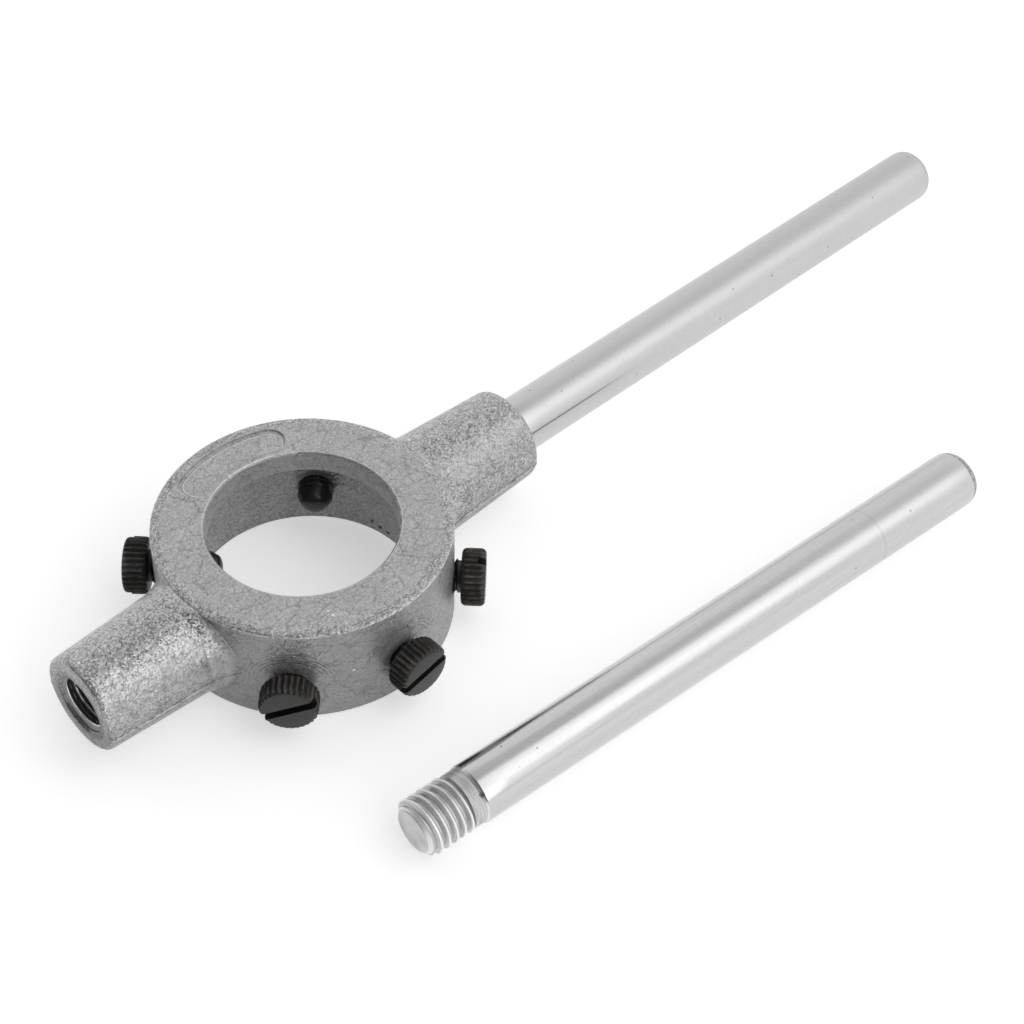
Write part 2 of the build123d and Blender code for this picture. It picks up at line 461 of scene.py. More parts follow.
@dataclass(frozen=True)
class HammeredPaint:
    """Grey metallic paint with wrinkled cells, fine flakes, rubbed edges, painted shade and painted
    highlights, in mm.
    """

    grey: float = 0.465
    # Grey of worn metal, also used as painted highlight on the rims and inside the panel's border.
    worn_and_lit_grey: float = 0.72
    speck_grey: float = 0.95
    pit_grey: float = 0.03
    metallic: tuple = (0.45, 0.84)
    roughness: tuple = (0.20, 0.27)
    boss_gloss: float = -0.05
    grain: tuple = (1.9, 4.0)
    grain_share: float = 0.45
    patch: tuple = (0.16, 3.0)
    patch_tone: tuple = (0.30, 0.85)
    cell: float = 2.5
    cell_stretch: tuple = (0.55, 1.0, 1.0)
    cell_warp: tuple = (0.5, 1.8)
    line_edge: tuple = (0.05, 0.0)
    line_breaks: Breaks = Breaks(0.42, 2.0, 0.31, 0.55)
    line_shares: tuple = (0.10, 0.25)
    dome_edge: tuple = (0.0, 0.34)
    flake: float = 0.24
    flake_tilt: float = 0.31
    flake_share: tuple = (0.31, 0.85)
    pocket_flakes: float = 0.7
    # Painted shade: the sloped brow round the ring's top is darkened a little as it turns away from the
    # light.
    brow: Region = Region(
        0.06, ((Measure.REACH, 22.4, 23.0), (Measure.REACH, 24.4, 24.3), (Measure.Z, 18.8, 19.0))
    )
    # Painted shade: the pocket under the ledge is darkened where shade falls in it.
    pocket: Region = Region(0.29, ((Measure.REACH, 19.4, 19.3), (Measure.Z, 15.7, 15.6)))
    boss: Region = Region(0.08, ((Measure.ALONG, 23.5, 25.5), (Measure.REACH, 24.4, 25.2)))
    # Painted shade: the bosses darken from above the parting line downwards, towards their undersides.
    under: Region = Region(0.28, ((Measure.Z, 12.6, 7.6),))
    # Painted shade: the bosses' end faces are darkened as if they got less light than the top.
    end: Region = Region(0.29, ((Measure.ALONG, 44.5, 44.62),))
    # Painted shade: the ring's upright outer wall is darkened as if it got less light than the top.
    wall: Region = Region(
        0.27, ((Measure.REACH, 23.8, 24.0), (Measure.REACH, 25.5, 24.5), (Measure.Z, 18.95, 18.85))
    )
    # Painted shade: the sight hole's bore above the pocket is darkened where shade falls in it.
    hole: Region = Region(0.22, ((Measure.REACH, 15.92, 15.84), (Measure.Z, 15.7, 15.8)))
    # The sockets' mouths and bores are darker in noisy patches.
    socket: Region = Region(0.75, ((Measure.BORE, 6.2, 6.1), (Measure.ALONG, 43.6, 43.8)))
    socket_mottle: tuple = (3.2, 4.0)
    # Painted shade: a dark line on the sunk panel's border stands for its shaded step.
    border: Region = Region(0.42, ((Measure.BORDER, 0.13, 0.04), (Measure.Z, 18.8, 19.0)))
    # Painted highlight: a light line just inside that border stands for the step's lit side, drawn as worn
    # metal.
    inner: Region = Region(0.85, ((Measure.INNER, 0.14, 0.04), (Measure.Z, 18.8, 19.0)))
    # Worn edge with a painted highlight: the sight hole's rim.
    hole_rim: Region = Region(0.8, ((Measure.HOLE_RIM, 0.18, 0.05),))
    hole_breaks: Breaks = Breaks(1.7, 3.0, 0.30, 0.46)
    # Worn edge with a painted highlight: the ring's outer rim.
    ring_rim: Region = Region(0.85, ((Measure.RIM, 0.18, 0.05),))
    parting: Region = Region(
        0.8,
        (
            (Measure.PARTING, 0.32, 0.12),
            (Measure.ALONG, 26.5, 27.5),
            (Measure.ALONG, 44.5, 44.2),
            (Measure.BESIDE, 5.6, 6.0),
        ),
    )
    ring_breaks: Breaks = Breaks(1.2, 4.0, 0.38, 0.54)
    # Scraped arcs and painted shade: the wall above each screw darkens in arcs that stand for the head's
    # shade.
    marks: Region = Region(
        0.42,
        (
            (Measure.SCREW, 4.9, 5.2),
            (Measure.SCREW, 8.2, 6.6),
            (Measure.Z, 8.4, 10.4),
            (Measure.Y, 20.0, 19.0),
        ),
    )
    mark_pitch: float = 0.60
    mark_wave: tuple = (0.0, 0.8)
    mark_breaks: Breaks = Breaks(0.9, 3.0, 0.36, 0.52)
    parting_z: float = 8.7
    rim_place: tuple = (24.25, 19.0)
    hole_rim_place: tuple = (15.92, 19.36)
    panel_middle: float = 19.175
    panel_half: float = 2.475
    panel_inset: float = 0.17
    panel_span_deg: tuple = (67.0, 112.5)
    relief_shares: tuple = (0.25, -0.3, 1.25, -0.5)
    relief: tuple = (0.06, 0.6)
    specks: tuple = (
        (-9.16, -18.38, 19.4),
        (-9.2, -17.24, 19.4),
        (-43.08, 0.7, 18.37),
        (-8.9, -22.56, 9.77),
    )
    speck_radius: float = 0.26
    pits: tuple = ((18.47, 5.05, 2.67), (18.84, 3.43, 2.2), (19.08, 1.65, 1.94))
    pit_radius: float = 0.45

    def cells(self, sh: Shader, place: Socket) -> tuple:
        """Warped Voronoi cells, longer along the bosses, with thin lines between them.

        Args:
            sh: The material.
            place: Where to read them, in mm.

        Returns:
            The lines, 1 on a line and broken by noise, and the cells' domed height.
        """
        drawn = sh.stretched(sh.warped(place, *self.cell_warp), self.cell_stretch)
        cell = {"Vector": drawn, "Scale": 1.0 / self.cell}
        edge = sh.node("TexVoronoi", cell, feature="DISTANCE_TO_EDGE").outputs["Distance"]
        line = sh.times(sh.spread(edge, *self.line_edge), sh.patches(place, self.line_breaks))
        return line, sh.spread(edge, *self.dome_edge)

    def off_panel(self, sh: Shader, place: Socket, parts: tuple) -> Socket:
        """Distance from the sunk panel's middle arc, which is panel_half inside its border.

        The angle round the ring, held within the panel's span, gives the arc's nearest point.

        Args:
            sh: The material.
            place: The coordinates, in mm.
            parts: The same, split in three.

        Returns:
            The distance, in mm.
        """
        low, high = (math.radians(v) for v in self.panel_span_deg)
        turn = sh.math("ARCTAN2", parts[1], parts[0])
        turn = sh.math("MINIMUM", sh.math("MAXIMUM", turn, low), high)
        across, forward = (sh.times(sh.math(way, turn), self.panel_middle) for way in ("COSINE", "SINE"))
        middle = sh.node("CombineXYZ", {0: across, 1: forward, 2: parts[2]}).outputs[0]
        return sh.vector("DISTANCE", {0: place, 1: middle})

    def measures(self, sh: Shader, place: Socket) -> dict:
        """Every measure's socket. A rim is a circle round the ring's axis.

        Args:
            sh: The material.
            place: The coordinates, in mm.

        Returns:
            A socket in mm for each measure.
        """
        x, y, z = parts = sh.split(place)
        reach, panel = sh.length(x, y), self.off_panel(sh, place, parts)
        rim, hole_rim = (
            sh.length(sh.off(reach, radius), sh.off(z, height))
            for radius, height in (self.rim_place, self.hole_rim_place)
        )
        return {
            Measure.Y: y,
            Measure.Z: z,
            Measure.REACH: reach,
            Measure.ALONG: sh.math("ABSOLUTE", x),
            Measure.BESIDE: sh.math("ABSOLUTE", y),
            Measure.BORE: sh.length(y, sh.off(z, SOCKET_HEIGHT)),
            Measure.PARTING: sh.off(z, self.parting_z),
            Measure.SCREW: sh.off_screw(parts, reach),
            Measure.BORDER: sh.off(panel, self.panel_half),
            Measure.INNER: sh.off(panel, self.panel_half - self.panel_inset),
            Measure.RIM: rim,
            Measure.HOLE_RIM: hole_rim,
        }

    def arcs(self, sh: Shader, at: dict) -> Socket:
        """Arcs above each screw from the sine of the distance from its axis: scraped in the relief, and
        painted shade of the head in the tone.
        """
        wave = sh.math("SINE", sh.times(at[Measure.SCREW], 2.0 * math.pi / self.mark_pitch))
        return sh.times(self.marks.mask(sh, at), sh.spread(wave, *self.mark_wave))

    def rubbed(self, sh: Shader, at: dict, edges: tuple, broken: Socket) -> Socket:
        """How much worn metal and painted highlight two edges show, where noise doesn't break them."""
        first, second = (sh.times(edge.mask(sh, at), edge.share) for edge in edges)
        return sh.times(sh.math("MAXIMUM", first, second), broken)

    def tone(self, sh: Shader, noises: tuple, flaky: Socket, losses: list) -> Socket:
        """Lightness from grain, flakes and patches, less what each region loses, much of it painted shade.

        Args:
            sh: The material.
            noises: Grain, patches and the flakes' colour.
            flaky: Where flakes stand out, from 0 to 1.
            losses: Masks with the share that each one takes.

        Returns:
            The lightness.
        """
        grain, patch, flake = noises
        few, many = self.flake_share
        shine = sh.node("SeparateColor", {0: flake}).outputs[0]
        shine = sh.strayed(1.0, shine, sh.scaled(flaky, many - few, few))
        kept = [sh.scaled(mask, -share, 1.0) for mask, share in losses]
        tone = sh.times(sh.strayed(1.0, grain, self.grain_share), shine, *kept)
        return sh.times(tone, sh.scaled(patch, *self.patch_tone), self.grey)

    def material(self) -> Material:
        """Joins tones, cells, flakes, rubbed edges, painted shade, painted highlights, specks and pits.

        Returns:
            The material.
        """
        sh = Shader("hammered_grey_paint")
        place = sh.place_mm()
        at = self.measures(sh, place)
        line, dome = self.cells(sh, place)
        # brow, pocket, wall, end, hole and border darken as painted shade; boss is the bosses' own darker
        # paint.
        regions = (self.brow, self.pocket, self.boss, self.wall, self.end, self.hole, self.border)
        masks = [region.mask(sh, at) for region in regions]
        brow, pocket, boss, wall = masks[:4]
        # Painted shade of the screw heads, drawn as arcs on the wall. The same arcs are scraped into the
        # relief.
        marks = sh.times(self.arcs(sh, at), wall, sh.patches(place, self.mark_breaks))
        grain, patch = sh.noise(place, *self.grain), sh.noise(place, *self.patch)
        flake = sh.node("TexVoronoi", {"Vector": place, "Scale": 1.0 / self.flake}).outputs["Color"]
        flaky = sh.math("MAXIMUM", sh.times(pocket, self.pocket_flakes), sh.math("MAXIMUM", brow, boss))
        everywhere, raised = self.line_shares
        losses = [(mask, region.share) for mask, region in zip(masks, regions)] + [
            # Painted shade on the bosses' undersides.
            (sh.times(boss, self.under.mask(sh, at)), self.under.share),
            # Darker in noisy patches at the sockets' mouths.
            (sh.times(self.socket.mask(sh, at), sh.noise(place, *self.socket_mottle)), self.socket.share),
            (marks, self.marks.share),
            (line, everywhere),
            (sh.times(line, sh.math("SUBTRACT", 1.0, pocket)), raised),
        ]
        tone = self.tone(sh, (grain, patch, flake), flaky, losses)
        # Painted highlight and wear: the two rims are worn edges with a painted highlight, the line inside
        # the panel's border is painted highlight, and the parting line is worn paint.
        edges = (self.ring_rim, self.parting), (self.hole_rim, self.inner)
        breaks = self.ring_breaks, self.hole_breaks
        worn_and_lit = (self.rubbed(sh, at, pair, sh.patches(place, cut)) for pair, cut in zip(edges, breaks))
        colour = sh.grey(tone)
        for share, grey in (
            (sh.math("MAXIMUM", *worn_and_lit), self.worn_and_lit_grey),
            (sh.spots(place, self.specks, self.speck_radius), self.speck_grey),
            (sh.spots(place, self.pits, self.pit_radius), self.pit_grey),
        ):
            colour = sh.blend(share, colour, (grey, grey, grey, 1.0))
        plain, full = self.metallic
        rough = sh.scaled(boss, self.boss_gloss, sh.scaled(grain, *self.roughness))
        metallic = sh.scaled(boss, full - plain, plain)
        sh.dress({"Base Color": colour, "Metallic": metallic, "Roughness": rough})
        relief = 0.0
        for height, share in zip((grain, line, dome, marks), self.relief_shares):
            relief = sh.scaled(height, share, relief)
        sh.bumps(relief, *self.relief, Normal=sh.tilted_normal(flake, self.flake_tilt))
        return sh.material


@dataclass(frozen=True)
class PolishedBar:
    """Drawn and polished steel bar, read along its own axis, in mm.

    Each ring is a place along the bar and a depth of tone. A reflected line is a painted
    reflection of the other rod: a thin dark line along the bar, as a level, the place where
    it ends and a depth.
    """

    name: str
    shoulder: tuple
    turn_deg: float
    grey: float = 0.585
    streak: float = 0.12
    streak_noise: tuple = (2.2, 4.0)
    streak_stretch: tuple = (0.02, 1.0, 1.0)
    fine_share: float = 0.06
    fine_noise: tuple = (1.3, 5.0)
    roughness: tuple = (0.13, 0.28)
    streak_rough: float = 0.08
    stud_start: tuple = (0.0, -0.3)
    stud_rough: float = 0.30
    turning_stretch: tuple = (7.5, 0.3, 0.3)
    turning_noise: tuple = (1.0, 3.0)
    turning_tone: tuple = (0.60, -0.01)
    turning_relief: float = 2.5
    streak_relief: float = 0.35
    thread_radii: tuple = (4.66, 4.90)
    # Painted highlight: the stud's crests are lighter and stand for glints on them.
    crest_glint: float = 0.34
    crest_rough: float = -0.14
    length: float = 109.1
    tip_start: tuple = (-2.1, -1.8)
    tip_breaks: Breaks = Breaks(1.9, 4.0, 0.20, 0.66)
    tip_dark: float = 0.36
    face_start: float = -0.3
    face_share: float = 0.6
    pit_scale: float = 0.42
    pit_edge: tuple = (0.11, 0.04)
    pit_dark: float = 0.3
    pitted: float = 0.72
    rings: tuple = ()
    ring_edge: tuple = (0.35, 0.05)
    # Painted reflections of the other rod, each a level, an end and a depth.
    reflected_line: tuple = ()
    reflected_line_edge: tuple = (0.17, 0.07)
    reflected_line_side: tuple = (0.0, -1.0)
    rust: tuple = ((-0.3, -3.2, 3.4),)
    rust_radius: float = 0.55
    rust_share: float = 0.80
    rust_colour: tuple = (0.12, 0.07, 0.05, 1.0)
    relief: tuple = (0.012, 0.6)

    def tip(self, sh: Shader, own: Socket, along: Socket) -> Socket:
        """The rounded tip, darker in patches and less so on its flat face.

        Args:
            sh: The material.
            own: The bar's own coordinates, in mm.
            along: The first of them, along the bar.

        Returns:
            How dark the tip is, from 0 to 1.
        """
        start, full = (self.length + off for off in self.tip_start)
        face = sh.spread(along, self.length + self.face_start, self.length)
        face = sh.scaled(face, -self.face_share, 1.0)
        return sh.times(sh.spread(along, start, full), sh.patches(own, self.tip_breaks), face)

    def pits(self, sh: Shader, own: Socket) -> Socket:
        """Small round pits, one in each chosen cell.

        Args:
            sh: The material.
            own: The bar's own coordinates, in mm.

        Returns:
            1 in a pit and 0 elsewhere.
        """
        cell = sh.node("TexVoronoi", {"Vector": own, "Scale": self.pit_scale})
        draw = sh.node("SeparateColor", {0: cell.outputs["Color"]}).outputs[0]
        chosen = sh.math("GREATER_THAN", draw, self.pitted)
        return sh.times(sh.spread(cell.outputs["Distance"], *self.pit_edge), chosen)

    def material(self) -> Material:
        """Long streaks along the bar, crests lit by a painted highlight and cut rings on the stud, pits and
        one rust spot.

        The bar gets duller from its shoulder to its tip, and its rounded tip is darker.

        Returns:
            The material.
        """
        sh = Shader(self.name)
        turn = (0.0, 0.0, math.radians(self.turn_deg))
        own = {"Vector": sh.place_mm(), "Location": self.shoulder, "Rotation": turn}
        own = sh.node("Mapping", own, vector_type="TEXTURE").outputs[0]
        along, across, rise = sh.split(own)
        lines = sh.noise(sh.stretched(own, self.streak_stretch), *self.streak_noise)
        cut = sh.noise(sh.stretched(own, self.turning_stretch), *self.turning_noise)
        stud = sh.spread(along, *self.stud_start)
        crest = sh.times(sh.spread(sh.length(across, rise), *self.thread_radii), stud)
        tone = sh.strayed(self.grey, lines, self.streak)
        tone = sh.strayed(tone, sh.noise(own, *self.fine_noise), self.fine_share)
        share, offset = self.turning_tone
        lifts = [
            (stud, sh.strayed(offset, cut, share)),
            # Painted highlight on the thread's crests.
            (crest, self.crest_glint),
            (self.pits(sh, own), -self.pit_dark),
            (self.tip(sh, own, along), -self.tip_dark),
        ]
        for place, depth in self.rings:
            lifts.append((sh.spread(sh.off(along, place), *self.ring_edge), -depth))
        # Painted reflection: each line is a dark stripe on one side of the bar, fading out towards its end.
        for level, end, depth in self.reflected_line:
            thin = sh.spread(sh.off(rise, level), *self.reflected_line_edge)
            near_side = sh.spread(across, *self.reflected_line_side)
            lifts.append((sh.times(thin, near_side, sh.spread(along, end, end / 2.0)), -depth))
        for mask, lift in lifts:
            tone = sh.scaled(mask, lift, tone)
        rough = sh.ramp(along, (0.0, self.length), self.roughness, "LINEAR")
        for mask, share in ((lines, self.streak_rough), (stud, self.stud_rough), (crest, self.crest_rough)):
            rough = sh.scaled(mask, share, rough)
        rust = sh.times(sh.spots(own, self.rust, self.rust_radius), self.rust_share)
        colour = sh.blend(rust, sh.grey(tone), self.rust_colour)
        sh.dress({"Base Color": colour, "Metallic": 1.0, "Roughness": rough})
        turned = sh.times(stud, self.turning_relief)
        sh.bumps(sh.scaled(cut, turned, sh.times(lines, self.streak_relief)), *self.relief)
        return sh.material


@dataclass(frozen=True)
class CutThread:
    """Bare metal of a tapped socket along the x axis, dull at its roots and bright on its crests, in mm."""

    grey: float = 0.10
    cut: tuple = (1.0, 4.0)
    cut_share: float = 0.25
    stretch: tuple = (5.0, 0.5, 0.5)
    thread_radii: tuple = (4.42, 4.20)
    # Painted highlight: the crests are lighter and stand for glints on them.
    crest_glint: float = 0.55
    metallic: float = 0.9
    roughness: tuple = (0.2, 0.25)
    relief: tuple = (0.02, 0.5)

    def material(self) -> Material:
        """Stretched noise follows the cut, and the tone rises towards the crests as a painted highlight.

        Returns:
            The material.
        """
        sh = Shader("cut_thread_metal")
        place = sh.place_mm()
        cut = sh.noise(sh.stretched(place, self.stretch), *self.cut)
        _, across, rise = sh.split(place)
        crest = sh.spread(sh.length(across, sh.off(rise, SOCKET_HEIGHT)), *self.thread_radii)
        tone = sh.scaled(crest, self.crest_glint, sh.scaled(cut, self.cut_share, self.grey))
        rough = sh.scaled(cut, *self.roughness)
        sh.dress({"Base Color": sh.grey(tone), "Metallic": self.metallic, "Roughness": rough})
        sh.bumps(cut, *self.relief)
        return sh.material


@dataclass(frozen=True)
class BlackOxide:
    """Black oxide over steel, oiled, and rubbed greyer on the crests of the knurls, in mm."""

    grey: float = 0.007
    grain: tuple = (2.4, 5.0)
    grain_share: float = 0.010
    patch_breaks: Breaks = Breaks(0.5, 3.0, 0.45, 0.75)
    patch_light: float = 0.012
    worn_breaks: Breaks = Breaks(0.8, 3.0, 0.34, 0.62)
    worn_light: float = 0.060
    warm: tuple = (1.12, 1.0, 0.90)
    crest_radii: tuple = (4.50, 4.74)
    roughness: tuple = (0.28, 0.18)
    sheen: float = 0.48
    relief: tuple = (0.025, 0.5)

    def material(self) -> Material:
        """Noise breaks the sheen and lifts the tone in patches, and the knurls' crests are worn.

        Returns:
            The material.
        """
        sh = Shader("black_oxide_steel")
        place = sh.place_mm()
        parts = sh.split(place)
        far = sh.off_screw(parts, sh.length(parts[0], parts[1]))
        worn = sh.times(sh.spread(far, *self.crest_radii), sh.patches(place, self.worn_breaks))
        grain = sh.noise(place, *self.grain)
        tone = sh.scaled(grain, self.grain_share, self.grey)
        tone = sh.scaled(sh.patches(place, self.patch_breaks), self.patch_light, tone)
        tone = sh.scaled(worn, self.worn_light, tone)
        tones = {key: sh.times(tone, share) for key, share in enumerate(self.warm)}
        colour = sh.node("CombineColor", tones).outputs[0]
        rough = sh.scaled(grain, *self.roughness)
        sh.dress({"Base Color": colour, "Specular IOR Level": self.sheen, "Roughness": rough})
        sh.bumps(grain, *self.relief)
        return sh.material


@dataclass
class PhotoCamera:
    """Camera at the photograph's viewpoint."""

    place_mm: tuple = (-152.92, -203.60, 285.01)
    azimuth_deg: float = -44.432
    elevation_deg: float = 46.066
    roll_deg: float = 1.603
    focal_px: float = 2300.0
    sensor_mm: float = 36.0
    clip_m: tuple = (0.01, 20.0)

    def build(self) -> Object:
        """Tips up from looking straight down, after a roll and before a turn to its azimuth.

        Returns:
            The camera, set as the scene's own.
        """
        azimuth, roll = math.radians(self.azimuth_deg), math.radians(self.roll_deg)
        tip = math.pi / 2.0 - math.radians(self.elevation_deg)
        turn = Matrix.Rotation(azimuth, 4, "Z") @ Matrix.Rotation(tip, 4, "X")
        turn = turn @ Matrix.Rotation(roll, 4, "Z")
        data = bpy.data.cameras.new("photo_camera")
        data.sensor_width = self.sensor_mm
        data.lens = self.focal_px / PHOTO_SIDE_PX * self.sensor_mm
        data.clip_start, data.clip_end = self.clip_m
        camera = bpy.data.objects.new("photo_camera", data)
        camera.matrix_world = Matrix.Translation(Vector(self.place_mm) * MM) @ turn
        bpy.context.scene.collection.objects.link(camera)
        bpy.context.scene.camera = camera
        return camera


@dataclass
class Studio:
    """Plain pale floor inside a light tent, with two soft panels in front, a high and a low one."""

    floor_reach_m: float = 6.0
    floor_points: int = 9
    floor_drop_m: float = 0.00002
    floor_colour: tuple = (0.80, 0.80, 0.80, 1.0)
    floor_rough: float = 0.9
    floor_sheen: float = 0.1
    floor_lift: float = 0.50
    low_light: float = 0.97
    high_light: float = 0.68
    tent_heights: tuple = (0.66, 0.88)
    panels: tuple = (
        ((0.25, -0.53, 0.81), 0.84, 0.974, 0.88),
        ((-0.03, -0.92, 0.39), 0.90, 0.975, 1.15),
    )
    dim_direction: tuple = (-0.904, -0.301, 0.301)
    dim_cosines: tuple = (-0.1, 0.75)
    dim_share: float = 0.8

    def floor(self) -> Object:
        """A large flat sheet just under the object.

        Returns:
            The floor.
        """
        span = np.linspace(-self.floor_reach_m, self.floor_reach_m, self.floor_points)
        side, depth = np.meshgrid(span, span)
        level = np.full_like(side, -self.floor_drop_m)
        points = np.stack([side, depth, level], axis=-1).reshape(-1, 3)
        index = np.arange(side.size).reshape(side.shape)
        quads = np.stack([index[:-1, :-1], index[:-1, 1:], index[1:, 1:], index[1:, :-1]], axis=-1)
        mesh = bpy.data.meshes.new("studio_floor")
        mesh.from_pydata(points.tolist(), [], quads.reshape(-1, 4).tolist())
        sh = Shader("floor_white")
        path = sh.node("LightPath", {})
        seen = sh.math("MAXIMUM", path.outputs["Is Camera Ray"], path.outputs["Is Glossy Ray"])
        seen = sh.math("MAXIMUM", seen, path.outputs["Is Transmission Ray"])
        sh.dress(
            {
                "Base Color": self.floor_colour,
                "Roughness": self.floor_rough,
                "Specular IOR Level": self.floor_sheen,
                "Emission Color": WHITE,
                "Emission Strength": sh.times(seen, self.floor_lift),
            }
        )
        floor = put_in_scene(mesh, ALL_SMOOTH_DEG, sh.material)
        return floor

    def surround(self) -> None:
        """The world: white to the camera, and a tent's soft light to everything else.

        The tent's light goes from low_light at the horizon to high_light overhead, and is
        weaker towards dim_direction. Each panel is a direction, the cosines at which its
        smooth border starts and ends, and the light that it adds.
        """
        world = bpy.data.worlds.new("surround")
        bpy.context.scene.world = world
        world.use_nodes = True
        sky = Nodes(world.node_tree)
        way = sky.node("TexCoord", {}).outputs["Generated"]
        height = sky.node("SeparateXYZ", {0: way}).outputs[2]
        tent = sky.ramp(height, self.tent_heights, (self.low_light, self.high_light))
        behind = sky.vector("DOT_PRODUCT", {0: way, 1: self.dim_direction})
        total = sky.times(tent, sky.ramp(behind, self.dim_cosines, (1.0, 1.0 - self.dim_share)))
        for direction, border, full, light in self.panels:
            facing = sky.vector("DOT_PRODUCT", {0: way, 1: direction})
            total = sky.math("ADD", total, sky.ramp(facing, (border, full), (0.0, light)))
        seen = sky.node("LightPath", {}).outputs["Is Camera Ray"]
        strength = sky.node("Mix", {0: seen, 2: total, 3: 1.0}).outputs[0]
        light = sky.node("Background", {"Color": WHITE, "Strength": strength}).outputs[0]
        sky.node("OutputWorld", {0: light})

    def build(self) -> None:
        """Floor and surround, with colours shown as they are."""
        self.floor()
        self.surround()
        bpy.context.scene.view_settings.view_transform = "Standard"


@dataclass
class Handle:
    """One rod with its rounded end, relief groove and threaded stud, in mm."""

    name: str
    node: str
    body: str
    shoulder: tuple
    turn_deg: float
    radius: float = 5.0
    length: float = 109.1
    end_round: float = 2.3
    stud_length: float = 11.0
    stud_radius: float = 4.95
    stud_chamfer: float = 1.45
    chamfer_slope: float = 1.2
    relief_length: float = 2.5
    relief_radius: float = 4.65
    run_out: float = 0.15
    shoulder_cone: float = 0.5
    shoulder_edge: tuple = ((-0.04, 0.06), (0.02, 0.02), (0.12, 0.0))
    ripple: tuple = (0.31, 0.03)
    thread_rows: int = 221
    neck_rows: int = 40
    bar_rows: int = 23
    end_rows: int = 8
    columns: int = 160
    sharp_deg: float = 40.0

    def sections(self) -> tuple:
        """Rows along the rod: thread rows, turned neck, rod and rounded end.

        Radius in the thread is root plus ridge times depth, where ridge is thread_ridge of
        (distance / pitch - angle / turn), limited by the chamfer's cone at the stud's end.
        The neck's radius is relief_radius plus a sine of the distance, the turning marks,
        and it widens to the rod over the last shoulder_cone of its length.

        Returns:
            Places along the rod and radii, both rows by columns.
        """
        pitch, depth = Thread.HANDLE.value
        thread_end = -self.relief_length
        along = np.linspace(-self.stud_length, thread_end, self.thread_rows)[:, None]
        angle = np.linspace(0.0, 1.0, self.columns, endpoint=False)[None, :]
        ridge = thread_ridge((along + self.stud_length) / pitch - angle)
        run_out = smooth_step(thread_end - self.run_out, thread_end, along)
        thread = self.stud_radius - depth * (1.0 - ridge)
        thread = thread * (1.0 - run_out) + self.relief_radius * run_out
        cone = self.stud_radius - self.stud_chamfer + (along + self.stud_length) * self.chamfer_slope
        thread = np.minimum(thread, cone)
        wave, height = self.ripple
        neck = np.linspace(thread_end, -self.shoulder_cone, self.neck_rows + 1)[1:]
        edge, cut = np.array(self.shoulder_edge).T
        bar = np.linspace(edge[-1], self.length - self.end_round, self.bar_rows + 1)[1:]
        bend = np.linspace(0.0, math.pi / 2, self.end_rows + 1)[1:]
        inner = self.radius - self.end_round
        rest_along = [neck, edge, bar, self.length - self.end_round * (1.0 - np.sin(bend))]
        rest_radius = [
            self.relief_radius + height * np.sin(2.0 * math.pi * neck / wave),
            self.radius - cut,
            np.full_like(bar, self.radius),
            inner + self.end_round * np.cos(bend),
        ]
        rest_along, rest_radius = np.concatenate(rest_along), np.concatenate(rest_radius)
        full = np.ones((1, self.columns))
        return (
            np.vstack([along * full, rest_along[:, None] * full]),
            np.vstack([thread, rest_radius[:, None] * full]),
        )

    def build(self, finish: Material) -> Object:
        """Carries the sections along the rod's axis and closes both ends.

        Args:
            finish: Material of the rod.

        Returns:
            The finished piece.
        """
        turn = math.radians(self.turn_deg)
        axis = np.array([math.cos(turn), math.sin(turn), 0.0])
        place = Place(np.array(self.shoulder), axis, np.array([0.0, 0.0, 1.0]))
        along, radius = self.sections()
        poles = place.origin - axis * self.stud_length, place.origin + axis * self.length
        mesh = capped_mesh(self.name, place.turned(radius, along), poles)
        piece = put_in_scene(mesh, self.sharp_deg, finish)
        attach(piece, self.body)
        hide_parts(self.node)
        return piece


